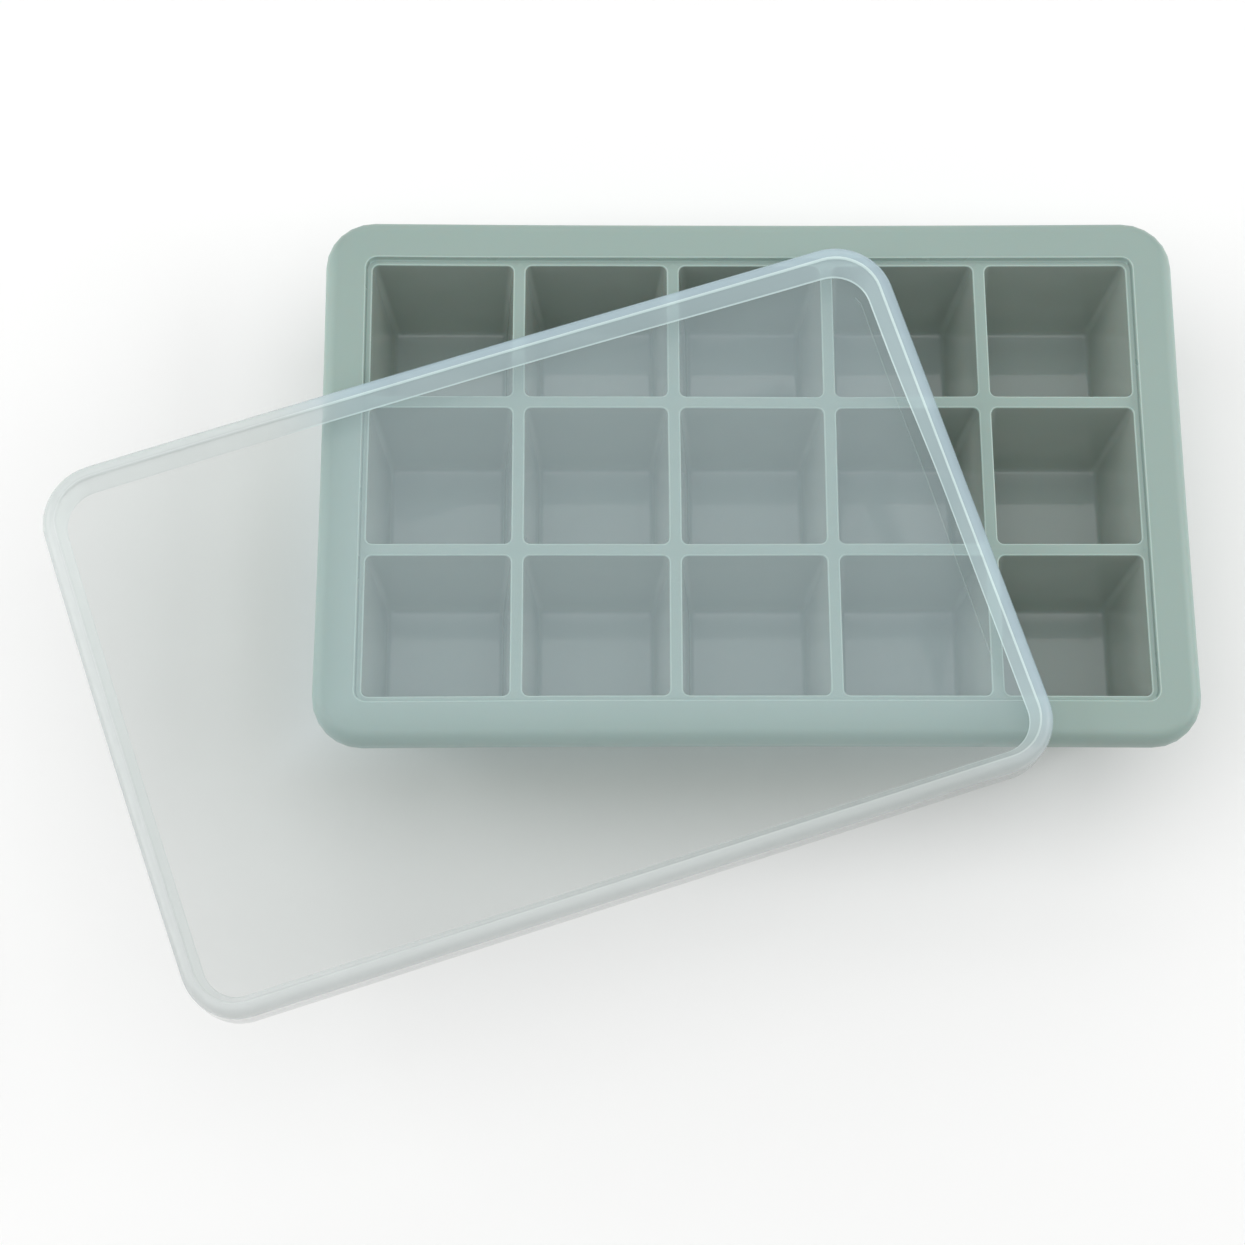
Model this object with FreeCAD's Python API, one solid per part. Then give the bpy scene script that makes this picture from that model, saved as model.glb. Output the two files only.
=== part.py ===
import FreeCAD, Part
import math
import os

# Baby food freezer tray: a one-piece silicone tray with square cells, and a loose
# translucent press-on lid that lies turned across one corner of the tray.
#
# Frame: origin in the middle of the base that the tray stands on, +X along the long
# side, +Y to the back, +Z up. Lengths are in millimetres, angles in degrees.

# ---- cells ----
CELL_COLUMNS = 5
CELL_ROWS = 3
CELL_OPENING = 31.3     # width of a cell's square mouth
CELL_DEPTH = 31.7       # from the tops of the dividers down to the cell's floor
CELL_LEAN = 2.6         # how far each cell wall leans in from the mouth to the floor
CELL_CORNER = 1.4       # upright corner radius of a cell
FLOOR_ROUND = 1.2       # fillet round a cell's floor
DIVIDER = 2.7           # width of the divider tops between two mouths
CUP_WALL = 2.0          # wall of a cup below the web
CUP_FLOOR = 1.8         # floor of a cup
WEB = 2.5               # thickness of the web that joins the cups at their mouths
EDGE_ROUND = 0.3        # small rounding of the divider tops and of the recess edge

# ---- rim ----
RIM_STEP = 1.5          # height of the rim above the divider tops
RIM_WIDTH = 9.1         # flat rim from the outermost cups to the outer edge
RIM_CORNER = 10.8       # outer corner radius of the rim
RECESS_CORNER = 2.5     # corner radius of the recess
RIM_ROUND = 3.0         # rounding of the rim's outer top edge
LIP_WALL = 2.5          # thickness of the turned-down outer lip
LIP_HEIGHT = 5.5        # height of the rim's outer face

# ---- lid ----
LID_END_CLEARANCE = 0.1   # gap between the rim's short ends and the skirt once the lid is on
LID_SIDE_CLEARANCE = 0.7  # the same along the long sides, which draw in a little
LID_WALL = 0.8          # wall of the skirt, the bead and the panel
LID_HEIGHT = 9.1        # from the skirt's lower edge to the top of the bead
BEAD_WIDTH = 4.7        # raised border round the lid's edge, down at the panel
BEAD_RIDGE = 2.9        # from the lid's edge to the ridge on top of the bead
BEAD_OUTER_ROUND = 2.3  # outer rounding of the bead
RIDGE_ROUND = 0.4       # rounding of the ridge
PANEL_DROP = 4.1        # depth of the flat panel below the top of the bead
PANEL_ROUND = 0.6       # fillet where the bead meets the panel
LID_TURN = 17.85        # how far the lid is turned on the tray
LID_CENTRE_X = -45.1
LID_CENTRE_Y = -34.55

# ---- worked out from the sizes above ----
PITCH = CELL_OPENING + DIVIDER
WEB_TOP = CUP_FLOOR + CELL_DEPTH
RIM_TOP = WEB_TOP + RIM_STEP
WEB_LENGTH = CELL_COLUMNS * PITCH
WEB_WIDTH = CELL_ROWS * PITCH
TRAY_LENGTH = WEB_LENGTH + 2 * RIM_WIDTH
TRAY_WIDTH = WEB_WIDTH + 2 * RIM_WIDTH
LID_LENGTH = TRAY_LENGTH + 2 * (LID_END_CLEARANCE + LID_WALL)
LID_WIDTH = TRAY_WIDTH + 2 * (LID_SIDE_CLEARANCE + LID_WALL)
LID_CORNER = RIM_CORNER + LID_END_CLEARANCE + LID_WALL
PANEL_TOP = LID_HEIGHT - PANEL_DROP
PANEL_UNDERSIDE = PANEL_TOP - LID_WALL
BEAD_LEAN = (BEAD_WIDTH - BEAD_RIDGE) / PANEL_DROP
SAME_LEVEL = 1e-6       # two heights closer than this are the same level


def rounded_outline(length, width, radius, z):
    """Closed wire of a rectangle with round corners, centred on the Z axis."""
    half_x = length / 2 - radius
    half_y = width / 2 - radius
    quarter = math.sqrt(0.5) * radius
    corners = [(half_x, half_y, 1, 1), (-half_x, half_y, -1, 1),
               (-half_x, -half_y, -1, -1), (half_x, -half_y, 1, -1)]
    arcs = []
    for x, y, side_x, side_y in corners:
        on_x = FreeCAD.Vector(x + side_x * radius, y, z)
        on_y = FreeCAD.Vector(x, y + side_y * radius, z)
        middle = FreeCAD.Vector(x + side_x * quarter, y + side_y * quarter, z)
        first, last = (on_x, on_y) if side_x * side_y > 0 else (on_y, on_x)
        arcs.append((first, middle, last))
    edges = []
    for index, (first, middle, last) in enumerate(arcs):
        following = arcs[(index + 1) % len(arcs)][0]
        edges.append(Part.Arc(first, middle, last).toShape())
        edges.append(Part.LineSegment(last, following).toShape())
    return Part.Wire(edges)


def rounded_block(length, width, radius, bottom, top):
    """Upright block with round corners between two heights."""
    face = Part.Face(rounded_outline(length, width, radius, bottom))
    return face.extrude(FreeCAD.Vector(0, 0, top - bottom))


def square_block(length, width, bottom, top):
    """Upright block with sharp corners between two heights."""
    corner = FreeCAD.Vector(-length / 2, -width / 2, bottom)
    return Part.makeBox(length, width, top - bottom, corner)


def level_edges(shape, z):
    """Edges that lie flat at one height."""
    flat = []
    for edge in shape.Edges:
        box = edge.BoundBox
        if abs(box.ZMin - z) < SAME_LEVEL and abs(box.ZMax - z) < SAME_LEVEL:
            flat.append(edge)
    return flat


def edges_within(edges, length, width):
    """Those edges that lie inside a centred rectangle."""
    inside = []
    for edge in edges:
        box = edge.BoundBox
        reach_x = max(abs(box.XMin), abs(box.XMax))
        reach_y = max(abs(box.YMin), abs(box.YMax))
        if reach_x < length / 2 and reach_y < width / 2:
            inside.append(edge)
    return inside


def tapered_block(mouth, foot, mouth_radius, foot_radius, bottom, top):
    """Square block that narrows from its mouth down to its foot."""
    lower = rounded_outline(foot, foot, foot_radius, bottom)
    upper = rounded_outline(mouth, mouth, mouth_radius, top)
    return Part.makeLoft([lower, upper], True, True)


def cell_space():
    """The hollow of one cell, with its floor rounded off."""
    foot = CELL_OPENING - 2 * CELL_LEAN
    space = tapered_block(CELL_OPENING, foot, CELL_CORNER, CELL_CORNER, CUP_FLOOR, WEB_TOP)
    return space.makeFillet(FLOOR_ROUND, level_edges(space, CUP_FLOOR))


def cup():
    """One cup: leaning walls and a floor below, and its square share of the web on top."""
    outer_corner = CELL_CORNER + CUP_WALL
    slope = CELL_LEAN / CELL_DEPTH
    mouth = CELL_OPENING + 2 * CUP_WALL
    foot = mouth - 2 * slope * WEB_TOP
    walls = tapered_block(mouth, foot, outer_corner, outer_corner, 0, WEB_TOP)
    walls = walls.common(square_block(PITCH, PITCH, 0, WEB_TOP))
    web = square_block(PITCH, PITCH, WEB_TOP - WEB, WEB_TOP)
    solid = walls.fuse(web).cut(cell_space()).removeSplitter()
    inner_edges = edges_within(level_edges(solid, WEB_TOP), PITCH - DIVIDER / 2, PITCH - DIVIDER / 2)
    return solid.makeFillet(EDGE_ROUND, inner_edges)


def rim():
    """Flat rim round the cups, stepped down to them, with its outer edge turned down."""
    lip_bottom = RIM_TOP - LIP_HEIGHT
    plate_bottom = WEB_TOP - WEB
    solid = rounded_block(TRAY_LENGTH, TRAY_WIDTH, RIM_CORNER, lip_bottom, RIM_TOP)
    solid = solid.makeFillet(RIM_ROUND, level_edges(solid, RIM_TOP))
    under = rounded_block(TRAY_LENGTH - 2 * LIP_WALL, TRAY_WIDTH - 2 * LIP_WALL,
                          RIM_CORNER - LIP_WALL, lip_bottom, plate_bottom)
    recess = rounded_block(WEB_LENGTH, WEB_WIDTH, RECESS_CORNER, WEB_TOP, RIM_TOP)
    window = square_block(WEB_LENGTH, WEB_WIDTH, plate_bottom, WEB_TOP)
    solid = solid.cut(under).cut(recess).cut(window)
    recess_edges = edges_within(level_edges(solid, RIM_TOP), WEB_LENGTH + EDGE_ROUND, WEB_WIDTH + EDGE_ROUND)
    return solid.makeFillet(EDGE_ROUND, recess_edges)


def lid_layer(inset, bottom, top):
    """Block with the lid's outline, drawn in by an inset."""
    return rounded_block(LID_LENGTH - 2 * inset, LID_WIDTH - 2 * inset, LID_CORNER - inset, bottom, top)


def lid_ring(inset, z):
    """The lid's outline at one height, drawn in by an inset."""
    return rounded_outline(LID_LENGTH - 2 * inset, LID_WIDTH - 2 * inset, LID_CORNER - inset, z)


def bead_inset(z):
    """How far in the bead's leaning inner face lies at one height."""
    return BEAD_RIDGE + BEAD_LEAN * (LID_HEIGHT - z)


def leaning_block(gap, bottom, top):
    """Block whose sides follow the bead's inner face, a gap outside it."""
    lower = lid_ring(bead_inset(bottom) - gap, bottom)
    upper = lid_ring(bead_inset(top) - gap, top)
    return Part.makeLoft([lower, upper], True, True)


def bead_channel():
    """The hollow inside the raised bead, above the panel's underside."""
    ceiling = LID_HEIGHT - LID_WALL
    outer = lid_layer(LID_WALL, PANEL_UNDERSIDE, ceiling)
    outer = outer.makeFillet(BEAD_OUTER_ROUND - LID_WALL, level_edges(outer, ceiling))
    wall_across = LID_WALL * math.hypot(1, BEAD_LEAN)
    return outer.cut(leaning_block(wall_across, PANEL_UNDERSIDE, ceiling))


def lid():
    """Lid in its own frame: skirt, hollow raised bead and a flat panel set down inside it."""
    solid = lid_layer(0, 0, LID_HEIGHT)
    solid = solid.makeFillet(BEAD_OUTER_ROUND, level_edges(solid, LID_HEIGHT))
    recess = leaning_block(0, PANEL_TOP, LID_HEIGHT)
    recess = recess.makeFillet(PANEL_ROUND, level_edges(recess, PANEL_TOP))
    solid = solid.cut(recess)
    flat = BEAD_OUTER_ROUND + BEAD_RIDGE
    ridge = edges_within(level_edges(solid, LID_HEIGHT), LID_LENGTH - flat, LID_WIDTH - flat)
    solid = solid.makeFillet(RIDGE_ROUND, ridge)
    solid = solid.cut(lid_layer(LID_WALL, 0, PANEL_UNDERSIDE))
    return solid.cut(bead_channel())


def place_cup(solid, row, column):
    """Move a cup to its place in the grid; row 1 is at the back, column 1 on the left."""
    x = (column - (CELL_COLUMNS + 1) / 2) * PITCH
    y = ((CELL_ROWS + 1) / 2 - row) * PITCH
    placed = solid.copy()
    placed.translate(FreeCAD.Vector(x, y, 0))
    return placed


def place_lid(solid):
    """Turn the lid and lay its skirt on the top of the rim."""
    placed = solid.copy()
    placed.rotate(FreeCAD.Vector(0, 0, 0), FreeCAD.Vector(0, 0, 1), LID_TURN)
    placed.translate(FreeCAD.Vector(LID_CENTRE_X, LID_CENTRE_Y, RIM_TOP))
    return placed


def build():
    """All pieces by name."""
    pieces = {"tray_rim": rim(), "lid": place_lid(lid())}
    one_cup = cup()
    for row in range(1, CELL_ROWS + 1):
        for column in range(1, CELL_COLUMNS + 1):
            pieces[f"cup_row{row}_col{column}"] = place_cup(one_cup, row, column)
    return pieces


os.makedirs("parts", exist_ok=True)
for name, shape in build().items():
    shape.exportStep(f"parts/{name}.step")
    print(name, "solids", len(shape.Solids), "valid", shape.isValid(), "volume", round(shape.Volume, 1))
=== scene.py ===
import math

import bmesh
import bpy
from mathutils import Matrix, Vector, noise


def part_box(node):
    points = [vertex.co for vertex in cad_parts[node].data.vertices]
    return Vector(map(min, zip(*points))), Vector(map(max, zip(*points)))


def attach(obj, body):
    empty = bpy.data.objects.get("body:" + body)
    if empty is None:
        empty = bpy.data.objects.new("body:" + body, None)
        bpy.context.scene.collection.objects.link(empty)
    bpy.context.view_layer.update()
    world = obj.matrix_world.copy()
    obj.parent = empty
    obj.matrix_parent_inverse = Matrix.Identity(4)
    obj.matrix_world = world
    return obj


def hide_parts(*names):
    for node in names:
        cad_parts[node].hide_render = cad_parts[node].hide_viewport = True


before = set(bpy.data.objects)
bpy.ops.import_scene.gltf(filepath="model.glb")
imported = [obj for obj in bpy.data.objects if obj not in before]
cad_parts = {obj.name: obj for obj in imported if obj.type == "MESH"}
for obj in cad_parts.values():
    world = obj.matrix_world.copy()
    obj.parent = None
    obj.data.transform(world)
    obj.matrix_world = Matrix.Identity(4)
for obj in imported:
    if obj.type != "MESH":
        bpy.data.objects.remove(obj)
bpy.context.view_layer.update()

MM = 0.001

# ---- read from the frame ----
RIM_LOW, RIM_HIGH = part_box("tray_rim")
CUP_LOW, CUP_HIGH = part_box("cup_row2_col3")
LID_LOW, LID_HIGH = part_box("lid")
TRAY_HALF_X = RIM_HIGH.x
TRAY_HALF_Y = RIM_HIGH.y
RIM_TOP = RIM_HIGH.z
LIP_BOTTOM = RIM_LOW.z
WEB_TOP = CUP_HIGH.z
PITCH = CUP_HIGH.x - CUP_LOW.x
LID_BOTTOM = LID_LOW.z
LID_TOP = LID_HIGH.z

# ---- tray, the same sizes as the solids ----
COLUMNS = 5
ROWS = 3
CELL_HALF = 31.3 * MM / 2
CELL_DEPTH = 31.7 * MM
CELL_LEAN = 2.6 * MM
CELL_CORNER = 1.4 * MM
FLOOR_ROUND = 1.2 * MM
EDGE_ROUND = 0.3 * MM
CUP_WALL = 2.0 * MM
WEB = 2.5 * MM
RECESS_COVE = 0.3 * MM        # how far the foot of the recess wall stands in over the web
RECESS_CORNER = 2.5 * MM
RIM_CORNER = 10.8 * MM
RIM_ROUND = 3.0 * MM
LIP_WALL = 2.5 * MM
LIP_ROUND = 0.8 * MM
FOOT_ROUND = 0.9 * MM
GROOVE_ROOF = 25.0 * MM       # height of the grooves between the cups, seen from below
GROOVE_HALF = 0.45 * MM       # half the flat width of a groove's roof
GROOVE_ROUND = 1.0 * MM
GROOVE_SHOULDER = [(0.30 * MM, 0.08 * MM), (0.08 * MM, 0.35 * MM)]   # (out, down) round its roof
COVE_START = 0.25 * MM        # height over the web of the first ring up the recess wall
COVE_END = 0.7 * MM           # and of the second
FLOOR_CORNER_SHARE = 0.6      # how fast a cell's corner tightens over the rounding of its floor
SLOPE = CELL_LEAN / CELL_DEPTH
CELL_FLOOR = WEB_TOP - CELL_DEPTH
PLATE_BOTTOM = WEB_TOP - WEB
CUP_CORNER = CELL_CORNER + CUP_WALL

# ---- how the soft moulding departs from straight lines ----
BOW = 0.45 * MM               # the long sides draw in this much halfway along
WAVE = 0.16 * MM              # slow unevenness of walls and dividers
WAVE_LENGTH = 38 * MM
WAVE_SEED = 1795495446        # which waves they are; without a seed they change with the clock
RIM_DIP = 0.12 * MM           # slow unevenness of the rim's height

# ---- points round the tray's outlines ----
SIDE_STEPS = 10               # along each straight side of a cell
ARC_STEPS = 6                 # round each corner; even, so that one point is the sharp corner
ROUND_STEPS = 4               # across a small rounding
RIM_ROUND_STEPS = 8           # over the rim's outer edge
WALL_STEPS = 9                # down a cell's wall
RIM_SHARES = [0.12, 0.5, 0.88]        # rings over the flat rim, as shares of its width
FLOOR_SHARES = [0.75, 0.5, 0.25]      # rings over a cell's floor
FOOT_SHARES = [0.6, 0.3]              # rings over a cup's foot
CUP_LEVELS = [level * MM for level in (20.5, 16.0, 11.0, 6.0, 2.5)]   # rings down a cup
SAME_PLACE = 0.01 * MM        # closer than this is the same line
WELD = 0.004 * MM             # points closer than this are joined

# ---- lid, the same sizes as the solid ----
LID_HALF_X = 190.0 * MM / 2
LID_HALF_Y = 123.2 * MM / 2
LID_CORNER = 11.7 * MM
LID_FAR_CORNER = 12.8 * MM    # the two corners away from the viewer have given a little
LID_WALL = 0.8 * MM
LID_TURN = math.radians(17.85)
BEAD_WIDTH = 4.7 * MM
BEAD_RIDGE = 2.9 * MM
BEAD_OUTER_ROUND = 2.3 * MM
RIDGE_ROUND = 0.4 * MM
PANEL_DROP = 4.1 * MM
PANEL_ROUND = 0.6 * MM
PANEL_STEP = 0.2 * MM         # faint second step inside the bead
PANEL_STEP_INSET = 7.7 * MM
PANEL_STEP_HALF = 0.4 * MM    # half its width
SKIRT_ROUND = 0.35 * MM
LID_DROOP = 1.5 * MM          # how far the free corner hangs down
LID_DROOP_REACH = 75 * MM     # how far out from the tray that corner is
LID_GIVE_FREE = 1.42 * MM     # draw of the overhanging short side, halfway along it
LID_GIVE_HELD = 0.33 * MM     # the same for the short side on the tray
LEAN_FAR = 0.8 * MM           # how much wider the bead's inner face is along the far side,
LEAN_CORNER = 0.6 * MM        # and more so towards its right end
LEAN_RIGHT = 0.8 * MM         # the same at the far end of the right side
CORNER_GIVE = 0.40 * MM       # how far the far right corner has drawn in
STEP_DRIFT = 1.9 * MM         # how far the panel's step wanders outwards up the right side
STEP_DRIFT_NEAR = 0.2 * MM    # and how far in it starts at the near end
STEP_HIGHLIGHT_START = -0.1        # where its painted highlight line shows, as shares of the step's half width
STEP_HIGHLIGHT_END = 0.6
STEP_HIGHLIGHT_RIGHT = 0.85        # and only beside the right side, where the light picks it out, as shares of the lid's half sizes
STEP_HIGHLIGHT_NEAR = -0.62
FOOT_HIGHLIGHT_START = 0.2         # the painted highlight line at the bead's inner foot, up its rounding
FOOT_HIGHLIGHT_END = 0.5
UNDER_ROUND = 0.4 * MM        # rounding between the bead and the panel on the inside
UNDER_ROUND_STEPS = 3
BEAD_UNDER_STEPS = 8          # over the inside of the bead's outer edge
LID_SAG = 0.25 * MM
LID_WAVE = 0.10 * MM
LID_WAVE_LENGTH = 1.2 * WAVE_LENGTH
LEAST_CORNER_SHARE = 0.12     # corners of the panel's rings stay this share of their half width
PANEL_FIRST_RING = 6.0 * MM   # insets of the rings over the panel
PANEL_RINGS = [inset * MM for inset in (9.0, 11.5, 15.0, 21.0, 30.0, 40.0, 50.0, 57.0)]
SKIRT_RING = 2.0 * MM         # height of a ring up the skirt
LID_LONG_STEPS = 30
LID_SHORT_STEPS = 20
LID_ARC_STEPS = 12
LID_HEIGHT = LID_TOP - LID_BOTTOM

# ---- the lid's plastic ----
HAZE_FADE = 12 * MM           # how gradually its haze changes to the painted shade at the tray's outline
HAZE_NEAR_SHADE = 0.84              # painted shade: its brightness beyond the tray, along the lid's near side
BEAD_HAZE_NEAR_SHADE = 0.91         # the same painted shade for the rounded bead
SKIRT_HAZE_NEAR_SHADE = 0.35        # and for the skirt, painted darker still as it turns away from the light there
HAZE_FAR_LIGHT = 1.10               # painted light along the lid's far side
HAZE_DRIFT = 0.03             # slow drift of the haze's brightness over the lid
ROUGH_DRIFT = 0.15            # and of its roughness
LID_IOR = 1.49
CLOUD_SCALE = 16              # waves per metre of that drift
FROST_SCALE = 900             # and of the frosting's grain
FROST_DEPTH = 0.02 * MM

# ---- silicone ----
DRIFT_SCALE = 22              # waves per metre of the slow drift of its colour
SMEAR_SCALE = 60              # of its roughness
SPECK_SCALE = 2600            # and of its grain
BODY_GLOW = 0.12              # how much light goes through its body
BODY_DEPTH = 1.5 * MM
CREASE_SHADE_LEVEL = WEB_TOP + 0.3 * MM     # below this the recess wall is painted darkest, a painted shade in the crease
CREASE_SHADE_START = COLUMNS * PITCH / 2 - RECESS_COVE - 0.6 * MM   # and only this far along, at its ends, where that painted shade sets in
CREASE_SHADE_FULL = CREASE_SHADE_START + 0.2 * MM

# ---- stage and camera ----
FLOOR_GAP = 0.2 * MM          # between the floor and the feet
CAMERA_AT = Vector((-33.005, -187.924, 544.064)) * MM
CAMERA_AHEAD = Vector((0.008644, 0.289751, -0.957063))
CAMERA_UP = Vector((0.000403, 0.957098, 0.289765))
PHOTO_WIDTH = 1245            # pixels
FOCAL_PIXELS = 2509.8
SENSOR_WIDTH = 36.0           # millimetres


# ================= outlines =================

def corner_signs():
    """The four corners, anticlockwise from the one at +X and +Y."""
    return [(1, 1), (-1, 1), (-1, -1), (1, -1)]


def arc_directions(quarter, steps):
    """Unit directions over one quarter turn; quarter 0 starts at +X."""
    start = quarter * math.pi / 2
    angles = [start + step * math.pi / 2 / steps for step in range(steps + 1)]
    return [(math.cos(a), math.sin(a)) for a in angles]


def outline(halves, radii, x_steps, y_steps, arc_steps):
    """Rounded rectangle, anticlockwise, as points in the plane.

    halves are the distances from the middle to the right, top, left and bottom sides;
    radii belong to the four corners in the order of corner_signs.
    """
    right, top, left, bottom = halves
    ends = [(right, top), (-left, top), (-left, -bottom), (right, -bottom)]
    arcs = []
    for quarter, ((x, y), (sx, sy), radius) in enumerate(zip(ends, corner_signs(), radii)):
        centre = (x - sx * radius, y - sy * radius)
        arcs.append([(centre[0] + dx * radius, centre[1] + dy * radius)
                     for dx, dy in arc_directions(quarter, arc_steps)])
    points = []
    for quarter, arc in enumerate(arcs):
        before = arcs[quarter - 1][-1]
        steps = y_steps if quarter % 2 == 0 else x_steps
        for step in range(1, steps):
            t = step / steps
            points.append((before[0] + (arc[0][0] - before[0]) * t,
                           before[1] + (arc[0][1] - before[1]) * t))
        points.extend(arc)
    return points


def cup_outline(halves, radius):
    """Outline of a cell or cup, with the same count of points at every level."""
    return outline(halves, [radius] * 4, SIDE_STEPS, SIDE_STEPS, ARC_STEPS)


def cup_arc_start(quarter):
    """Index of the first point of one corner arc in a cup outline."""
    return quarter * (SIDE_STEPS + ARC_STEPS) + SIDE_STEPS - 1


def sharpened(points, halves):
    """The same outline with its corner arcs pushed out into sharp corners."""
    right, top, left, bottom = halves
    ends = [(right, top), (-left, top), (-left, -bottom), (right, -bottom)]
    result = list(points)
    for quarter, corner in enumerate(ends):
        start = cup_arc_start(quarter)
        first = points[start]
        last = points[start + ARC_STEPS]
        for step in range(ARC_STEPS + 1):
            t = 2 * step / ARC_STEPS
            a, b, share = (first, corner, t) if t <= 1 else (corner, last, t - 1)
            result[start + step] = (a[0] + (b[0] - a[0]) * share, a[1] + (b[1] - a[1]) * share)
    return result


def share_outline(half):
    """A cup's square share of the web, as wide as the pitch."""
    level = [half] * 4
    return sharpened(cup_outline(level, half - (CELL_HALF - CELL_CORNER)), level)


def rounding(start, end, steps, first_turn):
    """Points of a quarter ellipse in (offset, height) from start to end, both included.

    first_turn is "offset" when the curve leaves start along the offset, else "height".
    """
    points = []
    for step in range(steps + 1):
        angle = step / steps * math.pi / 2
        quick, slow = math.sin(angle), 1 - math.cos(angle)
        along, across = (quick, slow) if first_turn == "offset" else (slow, quick)
        points.append((start[0] + (end[0] - start[0]) * along, start[1] + (end[1] - start[1]) * across))
    return points


# ================= mesh helpers =================

class Shell:
    """Collects rings of points and the faces between them."""

    def __init__(self):
        self.points = []
        self.faces = []
        self.looks = []

    def ring(self, points):
        """Adds a closed ring and returns its indices."""
        start = len(self.points)
        self.points.extend(points)
        return list(range(start, len(self.points)))

    def band(self, inner, outer, look):
        """Faces between two rings with equal counts."""
        count = len(inner)
        for i in range(count):
            j = (i + 1) % count
            self.faces.append((inner[i], outer[i], outer[j], inner[j]))
            self.looks.append(look)

    def cap(self, ring, look, upward=True):
        """One face across a ring."""
        self.faces.append(tuple(ring) if upward else tuple(reversed(ring)))
        self.looks.append(look)

    def object(self, name, materials):
        """Makes the mesh object, with doubled points joined and faces turned outwards."""
        mesh = bpy.data.meshes.new(name)
        mesh.from_pydata(self.points, [], self.faces)
        for material in materials:
            mesh.materials.append(material)
        mesh.polygons.foreach_set("material_index", self.looks)
        build = bmesh.new()
        build.from_mesh(mesh)
        bmesh.ops.remove_doubles(build, verts=build.verts, dist=WELD)
        bmesh.ops.recalc_face_normals(build, faces=build.faces)
        build.to_mesh(mesh)
        build.free()
        mesh.polygons.foreach_set("use_smooth", [True] * len(mesh.polygons))
        mesh.update()
        made = bpy.data.objects.new(name, mesh)
        bpy.context.scene.collection.objects.link(made)
        return made


def lifted(points, z, centre=(0.0, 0.0)):
    """Plane points at one height, moved to a centre."""
    return [Vector((x + centre[0], y + centre[1], z)) for x, y in points]


# ================= tray =================

SATIN = 0
GLOSSY = 1
# the roundings and the recess wall get paler silicone, a painted highlight, darkened low in the recess
# crease at the ends by painted shade
EDGE_HIGHLIGHT_AND_CREASE = 2


def cup_outer_half(z):
    """Half width of a cup's outer face at one height."""
    return CELL_HALF + CUP_WALL - SLOPE * (WEB_TOP - z)


def cell_profile():
    """(half width, corner radius, height) from the web down into a cell."""
    foot = CELL_HALF - CELL_LEAN
    levels = []
    for half, z in rounding((CELL_HALF + EDGE_ROUND, WEB_TOP), (CELL_HALF, WEB_TOP - EDGE_ROUND),
                            ROUND_STEPS, "offset"):
        levels.append((half, CELL_CORNER + half - CELL_HALF, z))
    wall_top = WEB_TOP - EDGE_ROUND
    wall_bottom = CELL_FLOOR + FLOOR_ROUND
    for step in range(1, WALL_STEPS):
        z = wall_top + (wall_bottom - wall_top) * step / WALL_STEPS
        levels.append((CELL_HALF - SLOPE * (WEB_TOP - z), CELL_CORNER, z))
    for half, z in rounding((foot, wall_bottom), (foot - FLOOR_ROUND, CELL_FLOOR), ROUND_STEPS, "height"):
        levels.append((half, CELL_CORNER - (foot - half) * FLOOR_CORNER_SHARE, z))
    return levels


def add_cell(shell, centre):
    """One cell seen from above: its share of the web, walls and floor."""
    previous = shell.ring(lifted(share_outline(PITCH / 2), WEB_TOP, centre))
    for index, (half, radius, z) in enumerate(cell_profile()):
        ring = shell.ring(lifted(cup_outline([half] * 4, radius), z, centre))
        # the web's rounding into each cell gets the painted highlight
        shell.band(ring, previous, SATIN if index == 0 else EDGE_HIGHLIGHT_AND_CREASE if index <= ROUND_STEPS else GLOSSY)
        previous = ring
    foot = CELL_HALF - CELL_LEAN - FLOOR_ROUND
    for share in FLOOR_SHARES:
        square = cup_outline([foot * share] * 4, CELL_CORNER * share * FLOOR_CORNER_SHARE)
        ring = shell.ring(lifted(square, CELL_FLOOR, centre))
        shell.band(ring, previous, GLOSSY)
        previous = ring
    shell.cap(previous, GLOSSY)


def open_sides(row, column):
    """Whether each side of a cup (right, top, left, bottom) is on the outside of the grid."""
    return [column == COLUMNS, row == 1, column == 1, row == ROWS]


def under_boundary(row, column):
    """A cup's edge against its neighbours below the web: the roof of the grooves between cups.

    On the outside of the grid it runs up to the underside of the rim.
    """
    outside = open_sides(row, column)
    plate_half = cup_outer_half(PLATE_BOTTOM)
    halves = [plate_half if side else PITCH / 2 for side in outside]
    square = [PITCH / 2] * 4
    straight = PITCH / 2 - (CELL_HALF - CELL_CORNER)
    base = sharpened(cup_outline(square, straight), square)
    points = []
    for x, y in base:
        gap = [PITCH / 2 - x, PITCH / 2 - y, PITCH / 2 + x, PITCH / 2 + y]
        on_side = [distance < SAME_PLACE for distance in gap]
        height = GROOVE_ROOF
        for side in range(4):
            if outside[side]:
                reach = max(0.0, 1 - gap[side] / straight)
                rise = 1.0 if on_side[side] else reach * reach
                height = max(height, GROOVE_ROOF + (PLATE_BOTTOM - GROOVE_ROOF) * rise)
        new_x = halves[0] if on_side[0] else -halves[2] if on_side[2] else x
        new_y = halves[1] if on_side[1] else -halves[3] if on_side[3] else y
        points.append(Vector((new_x, new_y, height)))
    for quarter in range(4):
        first, second = (quarter, (quarter + 1) % 4)
        if outside[first] and outside[second]:
            rounded = cup_outline([plate_half] * 4, CUP_CORNER)
            start = cup_arc_start(quarter)
            for index in range(start, start + ARC_STEPS + 1):
                points[index] = Vector((*rounded[index], PLATE_BOTTOM))
    return points


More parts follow.
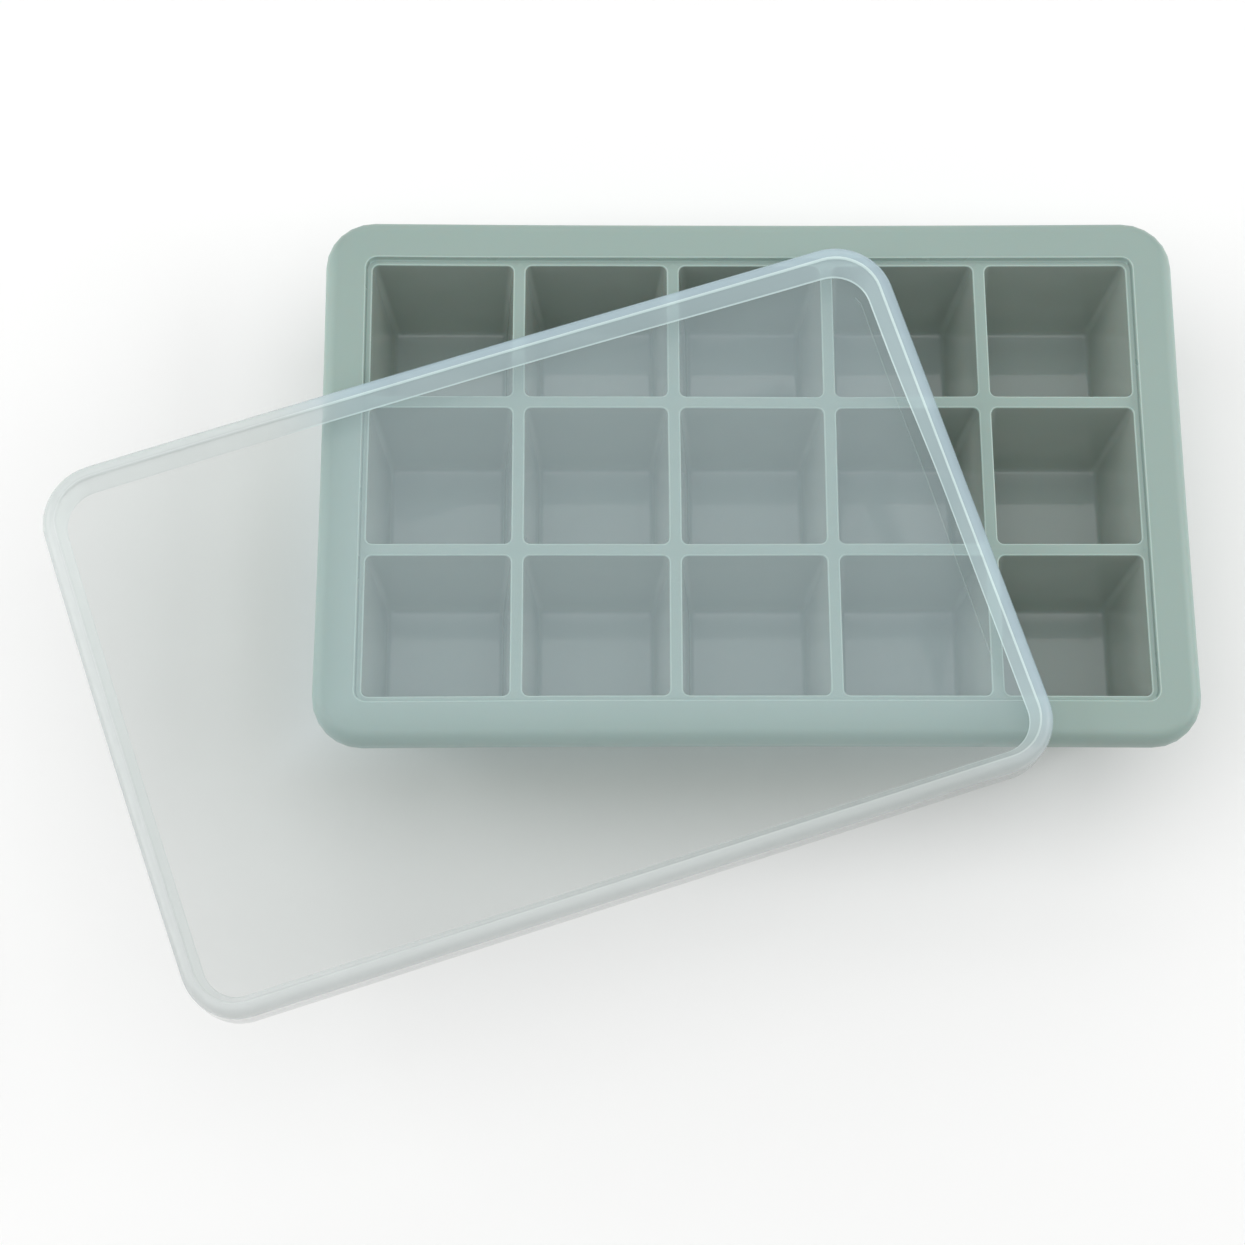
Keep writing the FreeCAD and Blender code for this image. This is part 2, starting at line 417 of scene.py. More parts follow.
def add_cup_outside(shell, centre, row, column):
    """One cup seen from below: grooves, leaning outer walls and the flat foot."""
    outside = open_sides(row, column)
    shift = Vector((centre[0], centre[1], 0))
    previous = shell.ring([point + shift for point in under_boundary(row, column)])
    narrow = PITCH / 2 - GROOVE_HALF
    levels = [(narrow + out, GROOVE_ROOF - down) for out, down in GROOVE_SHOULDER]
    levels += [(narrow, z) for z in [GROOVE_ROOF - GROOVE_ROUND] + CUP_LEVELS + [FOOT_ROUND]]
    for limit, z in levels:
        wall = cup_outer_half(z)
        halves = [wall if side else min(wall, limit) for side in outside]
        ring = shell.ring(lifted(cup_outline(halves, CUP_CORNER), z, centre))
        shell.band(previous, ring, SATIN)
        previous = ring
    foot = cup_outer_half(0)
    for half, z in rounding((cup_outer_half(FOOT_ROUND), FOOT_ROUND), (foot - FOOT_ROUND, 0),
                            ROUND_STEPS, "height")[1:]:
        ring = shell.ring(lifted(cup_outline([half] * 4, CUP_CORNER - (foot - half)), z, centre))
        shell.band(previous, ring, SATIN)
        previous = ring
    for share in FOOT_SHARES:
        ring = shell.ring(lifted(cup_outline([foot * share] * 4, CUP_CORNER * share), 0, centre))
        shell.band(previous, ring, SATIN)
        previous = ring
    shell.cap(previous, SATIN, upward=False)


def side_places(count):
    """Where the points of one side of the grid lie along it, between the corner arcs."""
    square = share_outline(PITCH / 2)
    places = set()
    right_side = [y for x, y in square if x > PITCH / 2 - SAME_PLACE]
    reach = (count - 1) * PITCH / 2 + CELL_HALF - CELL_CORNER
    for cup in range(count):
        middle = (cup - (count - 1) / 2) * PITCH
        for offset in right_side:
            place = middle + offset
            if abs(place) < reach - SAME_PLACE:
                places.add(round(place, 7))
    return sorted(places)


def grid_outline(half_x, half_y, radius, sharp=False):
    """A loop round all the cups whose points line up with theirs."""
    along_x = side_places(COLUMNS)
    along_y = side_places(ROWS)
    sides = [[(half_x, y) for y in along_y], [(x, half_y) for x in reversed(along_x)],
             [(-half_x, y) for y in reversed(along_y)], [(x, -half_y) for x in along_x]]
    points = []
    for quarter, (sign_x, sign_y) in enumerate(corner_signs()):
        points.extend(sides[quarter])
        if sharp:
            points.extend(sharp_corner(half_x, half_y, quarter))
            continue
        centre = (sign_x * (half_x - radius), sign_y * (half_y - radius))
        for dx, dy in arc_directions(quarter, ARC_STEPS):
            points.append((centre[0] + dx * radius, centre[1] + dy * radius))
    return points


def sharp_corner(half_x, half_y, quarter):
    """The corner points of the outermost cup's share of the web, in the tray's own frame."""
    start = cup_arc_start(quarter)
    sign_x, sign_y = corner_signs()[quarter]
    shift = (sign_x * (half_x - PITCH / 2), sign_y * (half_y - PITCH / 2))
    square = share_outline(PITCH / 2)
    return [(x + shift[0], y + shift[1]) for x, y in square[start:start + ARC_STEPS + 1]]


def rim_profile():
    """(outward offset from the cups, height) of the rim.

    It runs up the recess wall, over the rim and lip, and in to the underside of the plate.
    """
    width = TRAY_HALF_X - COLUMNS * PITCH / 2
    profile = [(-0.5 * RECESS_COVE, WEB_TOP + COVE_START), (-0.2 * RECESS_COVE, WEB_TOP + COVE_END),
               (0.0, RIM_TOP - EDGE_ROUND * 1.6)]
    profile += rounding((0.0, RIM_TOP - EDGE_ROUND), (EDGE_ROUND, RIM_TOP), ROUND_STEPS, "height")
    flat_end = width - RIM_ROUND
    profile += [(EDGE_ROUND + (flat_end - EDGE_ROUND) * share, RIM_TOP) for share in RIM_SHARES]
    profile += rounding((flat_end, RIM_TOP), (width, RIM_TOP - RIM_ROUND), RIM_ROUND_STEPS, "offset")
    profile += [(width, LIP_BOTTOM + LIP_ROUND * 1.6)]
    profile += rounding((width, LIP_BOTTOM + LIP_ROUND), (width - LIP_ROUND, LIP_BOTTOM),
                        ROUND_STEPS, "height")
    inner = width - LIP_WALL
    profile += rounding((inner + LIP_ROUND, LIP_BOTTOM), (inner, LIP_BOTTOM + LIP_ROUND),
                        ROUND_STEPS, "offset")
    profile += rounding((inner, PLATE_BOTTOM - LIP_ROUND), (inner - LIP_ROUND, PLATE_BOTTOM),
                        ROUND_STEPS, "height")
    return profile


def rim_corner(offset):
    """Corner radius of the rim's outline at an offset from the cups."""
    width = TRAY_HALF_X - COLUMNS * PITCH / 2
    return RECESS_CORNER + (RIM_CORNER - RECESS_CORNER) * offset / width


def add_rim(shell):
    """The recess wall, the rim's top and lip, and the underside up to the cups."""
    grid_x = COLUMNS * PITCH / 2
    grid_y = ROWS * PITCH / 2
    previous = shell.ring(lifted(grid_outline(grid_x, grid_y, 0, sharp=True), WEB_TOP))
    for offset, z in rim_profile():
        half_x = grid_x + offset
        half_y = grid_y + offset
        ring = shell.ring(lifted(grid_outline(half_x, half_y, rim_corner(offset)), z))
        # the rim's inner rounding and the recess wall get the painted highlight look
        on_painted_edge = offset < 1.01 * EDGE_ROUND and z > WEB_TOP
        shell.band(previous, ring, EDGE_HIGHLIGHT_AND_CREASE if on_painted_edge else SATIN)
        previous = ring
    spare = cup_outer_half(PLATE_BOTTOM) - PITCH / 2
    last = grid_outline(grid_x + spare, grid_y + spare, CUP_CORNER)
    ring = shell.ring(lifted(last, PLATE_BOTTOM))
    shell.band(previous, ring, SATIN)


def within_recess(point):
    """Draws a point of the web in to the foot of the recess wall, round its corners too."""
    x, y, z = point
    if z != WEB_TOP:
        return point
    radius = rim_corner(-RECESS_COVE)
    straight_x = COLUMNS * PITCH / 2 - RECESS_COVE - radius
    straight_y = ROWS * PITCH / 2 - RECESS_COVE - radius
    past_x = min(radius, abs(x) - straight_x)
    past_y = min(radius, abs(y) - straight_y)
    if past_x > 0 and past_y > 0:
        pull = min(1.0, radius / math.hypot(past_x, past_y))
        past_x *= pull
        past_y *= pull
    return Vector((math.copysign(straight_x + past_x, x), math.copysign(straight_y + past_y, y), z))


def soften(point):
    """Moves a point of the tray as the soft moulding gives: bowed sides and slow waves."""
    x, y, z = point
    height = max(0.0, min(1.0, z / WEB_TOP))
    bow_y = BOW * (1 - (x / TRAY_HALF_X) ** 2) * (y / TRAY_HALF_Y) * abs(y / TRAY_HALF_Y)
    bow_x = BOW * 0.7 * (1 - (y / TRAY_HALF_Y) ** 2) * (x / TRAY_HALF_X) * abs(x / TRAY_HALF_X)
    edge = max(abs(x) / TRAY_HALF_X, abs(y) / TRAY_HALF_Y)
    calm = max(0.0, 1 - edge ** 6)
    wave = noise.noise_vector(Vector((x, y, z)) / WAVE_LENGTH) * WAVE * calm
    dip = RIM_DIP * (0.5 + 0.5 * noise.noise(Vector((x, y, 0)) / (WAVE_LENGTH * 1.5)))
    return Vector((x + (wave.x - bow_x) * height, y + (wave.y - bow_y) * height, z - dip * height ** 6))


def make_tray(materials):
    """The whole tray as one silicone moulding."""
    shell = Shell()
    for row in range(1, ROWS + 1):
        for column in range(1, COLUMNS + 1):
            centre = ((column - (COLUMNS + 1) / 2) * PITCH, ((ROWS + 1) / 2 - row) * PITCH)
            add_cell(shell, centre)
            add_cup_outside(shell, centre, row, column)
    add_rim(shell)
    shell.points = [soften(within_recess(point)) for point in shell.points]
    tray = shell.object("tray", materials)
    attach(tray, "tray")
    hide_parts("tray_rim", *[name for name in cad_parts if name.startswith("cup_")])


# ================= lid =================

PANEL = 0
BEAD = 1
# the whiter, denser look of the ridge and of the bead's foot: a painted highlight line
HIGHLIGHT_LINE = 2
# the bead's inner slope, given a paler haze than the bead as painted light
INNER_FACE_PAINTED_LIGHT = 3
INSIDE = 4
# the whiter line on the panel's step: a painted highlight
STEP_HIGHLIGHT = 5
SKIRT = 6


def lid_outline(inset):
    """The lid's outline drawn in by an inset."""
    half_x = LID_HALF_X - inset
    half_y = LID_HALF_Y - inset
    corners = [LID_FAR_CORNER, LID_FAR_CORNER, LID_CORNER, LID_CORNER]
    radii = [max(corner - inset, LEAST_CORNER_SHARE * half_y) for corner in corners]
    halves = [half_x, half_y, half_x, half_y]
    return outline(halves, radii, LID_LONG_STEPS, LID_SHORT_STEPS, LID_ARC_STEPS)


def bead_inset(z):
    """How far in the bead's leaning inner face lies at one height."""
    return BEAD_RIDGE + (BEAD_WIDTH - BEAD_RIDGE) * (LID_HEIGHT - z) / PANEL_DROP


def panel_profile(level):
    """(inset, height, look) over one side of the panel, with its faint step."""
    middle = (PANEL_STEP_INSET, level + PANEL_STEP / 2)
    step = rounding((PANEL_STEP_INSET - PANEL_STEP_HALF, level), middle, 3, "offset")
    step += rounding(middle, (PANEL_STEP_INSET + PANEL_STEP_HALF, level + PANEL_STEP), 3, "height")[1:]
    inner = [(inset, level + PANEL_STEP) for inset in PANEL_RINGS]
    return [(inset, z, step_look(inset)) for inset, z in [(PANEL_FIRST_RING, level)] + step + inner]


def step_look(inset):
    """Look of a point of the panel; the steepest part of its step gets a painted highlight line."""
    from_middle = (inset - PANEL_STEP_INSET) / PANEL_STEP_HALF
    return STEP_HIGHLIGHT if STEP_HIGHLIGHT_START < from_middle < STEP_HIGHLIGHT_END else PANEL


def lid_top_profile():
    """(inset, height, look) over the lid's outside, from the skirt's edge to the panel."""
    panel = LID_HEIGHT - PANEL_DROP
    ridge_foot = LID_HEIGHT - 1.3 * RIDGE_ROUND
    profile = rounding((SKIRT_ROUND, 0), (0, SKIRT_ROUND), ROUND_STEPS, "offset")
    profile += [(0, SKIRT_RING), (0, LID_HEIGHT - BEAD_OUTER_ROUND - 0.5 * MM)]
    profile += rounding((0, LID_HEIGHT - BEAD_OUTER_ROUND), (BEAD_OUTER_ROUND, LID_HEIGHT), 10, "height")
    profile += rounding((BEAD_RIDGE - RIDGE_ROUND, LID_HEIGHT), (bead_inset(ridge_foot), ridge_foot),
                        5, "offset")
    profile += [(bead_inset(z), z) for z in (ridge_foot - 0.3 * MM, panel + PANEL_ROUND + 0.3 * MM)]
    profile += rounding((bead_inset(panel + PANEL_ROUND), panel + PANEL_ROUND),
                        (BEAD_WIDTH + PANEL_ROUND, panel), ROUND_STEPS, "height")
    return [(inset, z, edge_look(inset, z)) for inset, z in profile] + panel_profile(panel)


def edge_look(inset, z):
    """Look of a point of the outside between the skirt's edge and the panel."""
    # the ridge's crown gets the whiter, denser haze: a painted highlight line
    if abs(inset - BEAD_RIDGE) < 0.5 * RIDGE_ROUND and z > LID_HEIGHT - RIDGE_ROUND:
        return HIGHLIGHT_LINE
    if inset < BEAD_RIDGE:
        bead_foot = LID_HEIGHT - 1.1 * BEAD_OUTER_ROUND
        return INSIDE if z <= SKIRT_ROUND else BEAD if z > bead_foot else SKIRT
    above_panel = (z - LID_HEIGHT + PANEL_DROP) / PANEL_ROUND
    if above_panel < FOOT_HIGHLIGHT_START:
        return PANEL
    # a thin band up the foot's rounding gets the ridge's look: a painted highlight line
    return HIGHLIGHT_LINE if above_panel < FOOT_HIGHLIGHT_END else INNER_FACE_PAINTED_LIGHT


def lid_under_profile():
    """(inset, height, look) over the lid's inside, from the skirt's edge to the panel."""
    panel = LID_HEIGHT - PANEL_DROP - LID_WALL
    ceiling = LID_HEIGHT - LID_WALL
    round_in = BEAD_OUTER_ROUND - LID_WALL
    across = LID_WALL * math.hypot(1, (BEAD_WIDTH - BEAD_RIDGE) / PANEL_DROP)
    profile = rounding((LID_WALL - SKIRT_ROUND, 0), (LID_WALL, SKIRT_ROUND), ROUND_STEPS, "offset")
    profile += [(LID_WALL, SKIRT_RING)]
    profile += rounding((LID_WALL, ceiling - round_in),
                        (bead_inset(ceiling) - across, ceiling), BEAD_UNDER_STEPS, "height")
    profile += [(bead_inset(z) - across, z) for z in (ceiling - 0.4 * MM, panel + 0.7 * MM)]
    profile += rounding((bead_inset(panel + UNDER_ROUND) - across, panel + UNDER_ROUND),
                        (bead_inset(panel) - across + UNDER_ROUND, panel), UNDER_ROUND_STEPS, "height")
    profile += [(inset, z) for inset, z, look in panel_profile(panel)]
    return [(inset, z, INSIDE) for inset, z in profile]


def flex(point):
    """Moves a point of the lid, in the tray's frame, as the thin plastic gives beyond the tray."""
    x, y, z = point
    out_x = max(0.0, abs(x) - TRAY_HALF_X)
    out_y = max(0.0, abs(y) - TRAY_HALF_Y)
    beyond = math.hypot(out_x, out_y) / LID_DROOP_REACH
    return Vector((x, y, z - LID_DROOP * beyond * beyond))


def ease(value, low, high):
    """0 below low, 1 above high, smooth between."""
    share = max(0.0, min(1.0, (value - low) / (high - low)))
    return share * share * (3 - 2 * share)


def lean_more(x, y, inset):
    """Where a point of the lid lies once the bead's inner face has leaned over.

    It leans more along the far side and up the right one, and the panel's step drifts with it.
    """
    inside = max(0.0, min(1.0, (inset - BEAD_RIDGE) / (BEAD_WIDTH - BEAD_RIDGE)))
    far = max(0.0, y / LID_HALF_Y)
    right = max(0.0, x / LID_HALF_X)
    give = CORNER_GIVE * ease(x, 0, 0.9 * LID_HALF_X) * ease(y, 0, LID_HALF_Y)
    y -= (LEAN_FAR + LEAN_CORNER * ease(x, 0, LID_HALF_X)) * inside * far + give
    x -= LEAN_RIGHT * ease(y, 0, 0.6 * LID_HALF_Y) * inside * right
    drift = STEP_DRIFT * max(0.0, 0.5 + 0.5 * y / LID_HALF_Y) ** 1.5 - STEP_DRIFT_NEAR
    x += drift * ease(inset, BEAD_WIDTH + PANEL_ROUND, PANEL_STEP_INSET - PANEL_STEP_HALF) * right
    return x, y


def draw_in(x, y):
    """The lid's x once its short sides have drawn in towards the near long side."""
    share = x / LID_HALF_X
    nearness = 1 - y / LID_HALF_Y
    give = LID_GIVE_FREE * nearness ** 1.4 if x < 0 else LID_GIVE_HELD * nearness
    return x - give * share * abs(share)


def place_lid(point):
    """From the lid's own frame to the tray's, with the panel's slight sag."""
    y, z = point[1:]
    x = draw_in(point[0], y)
    from_ends = max(0.0, 1 - (x / (LID_HALF_X - BEAD_WIDTH)) ** 2)
    from_sides = max(0.0, 1 - (y / (LID_HALF_Y - BEAD_WIDTH)) ** 2)
    inside = from_ends * from_sides
    ripple = noise.noise(Vector((x, y, 0)) / LID_WAVE_LENGTH) * LID_WAVE
    sunk = z - LID_SAG * inside + ripple * min(1.0, inside * 4)
    middle = (LID_LOW + LID_HIGH) / 2
    turned = Matrix.Rotation(LID_TURN, 3, "Z") @ Vector((x, y, sunk))
    return flex(turned + Vector((middle.x, middle.y, LID_BOTTOM)))


def add_lid_side(shell, profile, start_ring):
    """Rings of one side of the lid, closed across the middle of the panel with its last look."""
    previous = start_ring
    for inset, z, look in profile:
        ring = shell.ring(lifted([lean_more(x, y, inset) for x, y in lid_outline(inset)], z))
        if previous is not None:
            shell.band(ring, previous, look)
        previous = ring
    shell.cap(previous, profile[-1][2])


def keep_step_highlight(shell):
    """Leaves the step's painted highlight line only beside the lid's right side, where the light picks it
    out.
    """
    low_y = STEP_HIGHLIGHT_NEAR * LID_HALF_Y
    high_y = LID_HALF_Y - LID_FAR_CORNER
    for index, face in enumerate(shell.faces):
        middle = sum((shell.points[i] for i in face), Vector()) / len(face)
        shows = middle.x > STEP_HIGHLIGHT_RIGHT * LID_HALF_X and low_y < middle.y < high_y
        if shell.looks[index] == STEP_HIGHLIGHT and not shows:
            shell.looks[index] = PANEL


def make_lid(materials):
    """The lid as one thin moulding: skirt, hollow bead and panel."""
    shell = Shell()
    top = lid_top_profile()
    under = lid_under_profile()
    add_lid_side(shell, top, None)
    inset, z = top[0][:2]
    joint = shell.ring(lifted([lean_more(x, y, inset) for x, y in lid_outline(inset)], z))
    add_lid_side(shell, under, joint)
    keep_step_highlight(shell)
    shell.points = [place_lid(point) for point in shell.points]
    lid = shell.object("lid_moulding", materials)
    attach(lid, "lid")
    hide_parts("lid")


# ================= materials =================

def new_material(name):
    """A node material and its main shader."""
    material = bpy.data.materials.new(name)
    material.use_nodes = True
    return material, material.node_tree, material.node_tree.nodes["Principled BSDF"]


def noise_node(tree, scale, detail):
    """Noise texture in object coordinates; scale is in waves per metre."""
    place = tree.nodes.new("ShaderNodeTexCoord")
    texture = tree.nodes.new("ShaderNodeTexNoise")
    texture.inputs["Scale"].default_value = scale
    texture.inputs["Detail"].default_value = detail
    tree.links.new(place.outputs["Object"], texture.inputs["Vector"])
    return texture.outputs["Fac"]


def ramp(tree, source, low, high):
    """Maps a 0..1 value to a range of values or colours."""
    node = tree.nodes.new("ShaderNodeMix")
    colours = isinstance(low, tuple)
    node.data_type = "RGBA" if colours else "FLOAT"
    kind = 6 if colours else 2
    tree.links.new(source, node.inputs[0])
    node.inputs[kind].default_value = (*low, 1) if colours else low
    node.inputs[kind + 1].default_value = (*high, 1) if colours else high
    return node.outputs[2 if colours else 0]


def bump(tree, source, distance, strength):
    """Bump node driven by a texture; distance is in metres."""
    node = tree.nodes.new("ShaderNodeBump")
    node.inputs["Strength"].default_value = strength
    node.inputs["Distance"].default_value = distance
    tree.links.new(source, node.inputs["Height"])
    return node.outputs["Normal"]


def silicone(name, drift_colours, roughness, grain, specular, painted_depth_light_colours=None, painted_end_colour=None,
             painted_crease_shade=None):
    """Moulded silicone: slow colour drift, fine grain and a soft translucent body.

    drift_colours are the two colours it drifts between; painted_depth_light_colours, where given, are the
    paler colours painted at the foot of a cell's walls and on its floor, painted light standing in
    for light that passes through the silicone into the cells' depths. painted_end_colour is the paler
    one painted at the very ends of the tray, a painted highlight for the side light on the rounded
    edge, and painted_crease_shade the darker one painted low on the recess wall at both ends, a
    painted shade in the crease.
    """
    material, tree, shader = new_material(name)
    drift = noise_node(tree, DRIFT_SCALE, 3)
    speck = noise_node(tree, SPECK_SCALE, 2)
    smear = noise_node(tree, SMEAR_SCALE, 4)
    colour = ramp(tree, drift, *drift_colours)
    # paler colours painted down the walls and over the floor: painted light standing in for light that
    # passes through the silicone into the cells
    if painted_depth_light_colours:
        foot, floor = painted_depth_light_colours
        colour = blend_along(tree, (0, 0, 1), CELL_FLOOR + FLOOR_ROUND, WEB_TOP, foot, colour)
        colour = blend_along(tree, (0, 0, 1), CELL_FLOOR, CELL_FLOOR + FLOOR_ROUND, floor, colour)
    # paler colour painted at both ends of the tray: a painted highlight standing in for side light on the
    # rounded edge
    if painted_end_colour:
        colour = toward_ends(tree, TRAY_HALF_X - RIM_ROUND, TRAY_HALF_X, colour, (*painted_end_colour, 1))
    # darker colour painted low on the recess wall at both ends: a painted shade in the crease
    if painted_crease_shade:
        crease_shade = blend_along(tree, (0, 0, 1), CREASE_SHADE_LEVEL, RIM_TOP - EDGE_ROUND, painted_crease_shade, colour)
        colour = toward_ends(tree, CREASE_SHADE_START, CREASE_SHADE_FULL, colour, crease_shade)
    tree.links.new(colour, shader.inputs["Base Color"])
    tree.links.new(ramp(tree, smear, *roughness), shader.inputs["Roughness"])
    tree.links.new(bump(tree, speck, grain, 0.5), shader.inputs["Normal"])
    shader.inputs["Specular IOR Level"].default_value = specular
    shader.inputs["Subsurface Weight"].default_value = BODY_GLOW
    shader.inputs["Subsurface Scale"].default_value = BODY_DEPTH
    return material


def blend_along(tree, direction, low, high, low_colour, colour):
    """Blends from low_colour to colour between two places along a direction."""
    place = tree.nodes.new("ShaderNodeTexCoord")
    reach = tree.nodes.new("ShaderNodeVectorMath")
    reach.operation = "DOT_PRODUCT"
    reach.inputs[1].default_value = direction
    level = tree.nodes.new("ShaderNodeMapRange")
    blend = tree.nodes.new("ShaderNodeMix")
    blend.data_type = "RGBA"
    level.inputs["From Min"].default_value = low
    level.inputs["From Max"].default_value = high
    tree.links.new(place.outputs["Object"], reach.inputs[0])
    tree.links.new(reach.outputs["Value"], level.inputs["Value"])
    tree.links.new(level.outputs["Result"], blend.inputs[0])
    blend.inputs[6].default_value = (*low_colour, 1)
    tree.links.new(colour, blend.inputs[7])
    return blend.outputs[2]


def toward_ends(tree, near, far, colour, painted_end_colour):
    """Blends from colour to painted_end_colour between two distances from the tray's middle.

    It does so at both ends of the tray. painted_end_colour is a colour or another node's output: the
    painted highlight at the rim's ends or the painted shade in the recess crease.
    """
    place = tree.nodes.new("ShaderNodeTexCoord")
    split = tree.nodes.new("ShaderNodeSeparateXYZ")
    out = tree.nodes.new("ShaderNodeMath")
    out.operation = "ABSOLUTE"
    reach = tree.nodes.new("ShaderNodeMapRange")
    reach.inputs["From Min"].default_value = near
    reach.inputs["From Max"].default_value = far
    blend = tree.nodes.new("ShaderNodeMix")
    blend.data_type = "RGBA"
    tree.links.new(place.outputs["Object"], split.inputs[0])
    tree.links.new(split.outputs["X"], out.inputs[0])
    tree.links.new(out.outputs[0], reach.inputs["Value"])
    tree.links.new(reach.outputs["Result"], blend.inputs[0])
    tree.links.new(colour, blend.inputs[6])
    if isinstance(painted_end_colour, tuple):
        blend.inputs[7].default_value = painted_end_colour
    else:
        tree.links.new(painted_end_colour, blend.inputs[7])
    return blend.outputs[2]


def beyond_tray(tree):
    """0 over the tray, rising to 1 a little way outside it, where the lid's haze turns to its painted
    shade.
    """
    place = tree.nodes.new("ShaderNodeTexCoord")
    mirrored = tree.nodes.new("ShaderNodeVectorMath")
    mirrored.operation = "ABSOLUTE"
    outside = tree.nodes.new("ShaderNodeVectorMath")
    outside.operation = "SUBTRACT"
    outside.inputs[1].default_value = (TRAY_HALF_X, TRAY_HALF_Y, 0)
    split = tree.nodes.new("ShaderNodeSeparateXYZ")
    farther = tree.nodes.new("ShaderNodeMath")
    farther.operation = "MAXIMUM"
    reach = tree.nodes.new("ShaderNodeMapRange")
    reach.interpolation_type = "SMOOTHSTEP"
    reach.inputs["From Min"].default_value = -HAZE_FADE
    reach.inputs["From Max"].default_value = HAZE_FADE
    tree.links.new(place.outputs["Object"], mirrored.inputs[0])
    tree.links.new(mirrored.outputs[0], outside.inputs[0])
    tree.links.new(outside.outputs[0], split.inputs[0])
    tree.links.new(split.outputs["X"], farther.inputs[0])
    tree.links.new(split.outputs["Y"], farther.inputs[1])
    tree.links.new(farther.outputs[0], reach.inputs["Value"])
    return reach.outputs["Result"]


def scaled(colour, share):
    """A colour made darker or lighter."""
    return tuple(min(1.0, part * share) for part in colour)


def clouded(tree, cloud, colour):
    """A colour that drifts a little darker and lighter over the lid."""
    return ramp(tree, cloud, scaled(colour, 1 - HAZE_DRIFT), scaled(colour, 1 + HAZE_DRIFT))


def lid_plastic(name, over, beyond, alpha, roughness, near_painted_shade=HAZE_NEAR_SHADE):
    """Thin frosted plastic that lets the tray show through a pale haze.

    over is the haze's colour above the tray, beyond its colour where the lid hangs out, which stands
    in for the shade on the floor seen through that part: painted shade. It is painted darker along the
    near side, by near_painted_shade, than along the far one, which is painted lighter.
    """
    material, tree, shader = new_material(name)
    cloud = noise_node(tree, CLOUD_SCALE, 3)
    grain = noise_node(tree, FROST_SCALE, 3)
    blend = tree.nodes.new("ShaderNodeMix")
    blend.data_type = "RGBA"
    # the haze turns to its painted shade where the lid hangs beyond the tray
    tree.links.new(beyond_tray(tree), blend.inputs[0])
    across = Vector((-math.sin(LID_TURN), math.cos(LID_TURN), 0))
    centre = across.dot(LID_LOW + LID_HIGH) / 2
    # painted lighter along the far side and darker along the near side
    far_painted_light_haze = clouded(tree, cloud, scaled(beyond, HAZE_FAR_LIGHT))
    beyond_painted_shade_haze = blend_along(tree, across, centre - LID_HALF_Y, centre + LID_HALF_Y,
                            scaled(beyond, near_painted_shade), far_painted_light_haze)
    tree.links.new(clouded(tree, cloud, over), blend.inputs[6])
    tree.links.new(beyond_painted_shade_haze, blend.inputs[7])
    tree.links.new(blend.outputs[2], shader.inputs["Base Color"])
    rough = ramp(tree, cloud, roughness * (1 - ROUGH_DRIFT), roughness * (1 + ROUGH_DRIFT))
    tree.links.new(rough, shader.inputs["Roughness"])
    tree.links.new(bump(tree, grain, FROST_DEPTH, 0.25), shader.inputs["Normal"])
    shader.inputs["Alpha"].default_value = alpha
    shader.inputs["IOR"].default_value = LID_IOR
    return material


def floor_material():
    """Plain pale studio floor."""
    material, tree, shader = new_material("floor_pale")
    shader.inputs["Base Color"].default_value = (0.905, 0.905, 0.90, 1)
    shader.inputs["Roughness"].default_value = 0.75
    shader.inputs["Specular IOR Level"].default_value = 0.2
    return material


# ================= stage =================

def make_floor():
    """A wide plain floor at the height that the tray stands on."""
    reach = 4.0
    mesh = bpy.data.meshes.new("floor")
    corners = [(-reach, -reach, 0), (reach, -reach, 0), (reach, reach, 0), (-reach, reach, 0)]
    mesh.from_pydata(corners, [], [(0, 1, 2, 3)])
    mesh.materials.append(floor_material())
    floor = bpy.data.objects.new("floor", mesh)
    floor.location.z = -FLOOR_GAP
    bpy.context.scene.collection.objects.link(floor)


def add_softbox(name, at, aim, size, power):
    """A rectangular area light turned to a point."""
    light = bpy.data.lights.new(name, "AREA")
    light.shape = "RECTANGLE"
    light.size, light.size_y = size
    light.energy = power
    placed = bpy.data.objects.new(name, light)
    placed.location = at
    placed.rotation_euler = (Vector(aim) - Vector(at)).to_track_quat("-Z", "Y").to_euler()
    bpy.context.scene.collection.objects.link(placed)


def make_lights():
    """A softbox overhead, one on each side and one behind, and a pale surrounding."""
    middle = (-0.02, 0, 0.02)
    add_softbox("overhead", (-0.02, 0.05, 1.5), middle, (2.0, 2.0), 12.4)
    for side in (-1, 1):
        add_softbox("side", (1.15 * side, 0.05, 0.68), middle, (1.0, 0.8), 7.6)
    add_softbox("behind", (-0.02, 1.25, 0.75), middle, (1.3, 0.8), 3.6)
    world = bpy.data.worlds.new("studio")
    world.use_nodes = True
    background = world.node_tree.nodes["Background"]
    background.inputs["Color"].default_value = (1.0, 1.0, 1.0, 1)
    background.inputs["Strength"].default_value = 0.30
    bpy.context.scene.world = world


def make_camera():
    """Camera at the photographer's place."""
    lens = bpy.data.cameras.new("camera")
    lens.sensor_fit = "HORIZONTAL"
    lens.sensor_width = SENSOR_WIDTH
    lens.lens = FOCAL_PIXELS / PHOTO_WIDTH * SENSOR_WIDTH
    lens.clip_start = 0.01
    camera = bpy.data.objects.new("camera", lens)
    back = -CAMERA_AHEAD.normalized()
    right = CAMERA_UP.cross(back).normalized()
    up = back.cross(right)
    turn = Matrix((right, up, back)).transposed()
    camera.matrix_world = Matrix.Translation(CAMERA_AT) @ turn.to_4x4()
    bpy.context.scene.collection.objects.link(camera)
    bpy.context.scene.camera = camera
    bpy.context.scene.view_settings.view_transform = "Standard"


make_camera()
make_floor()
make_lights()
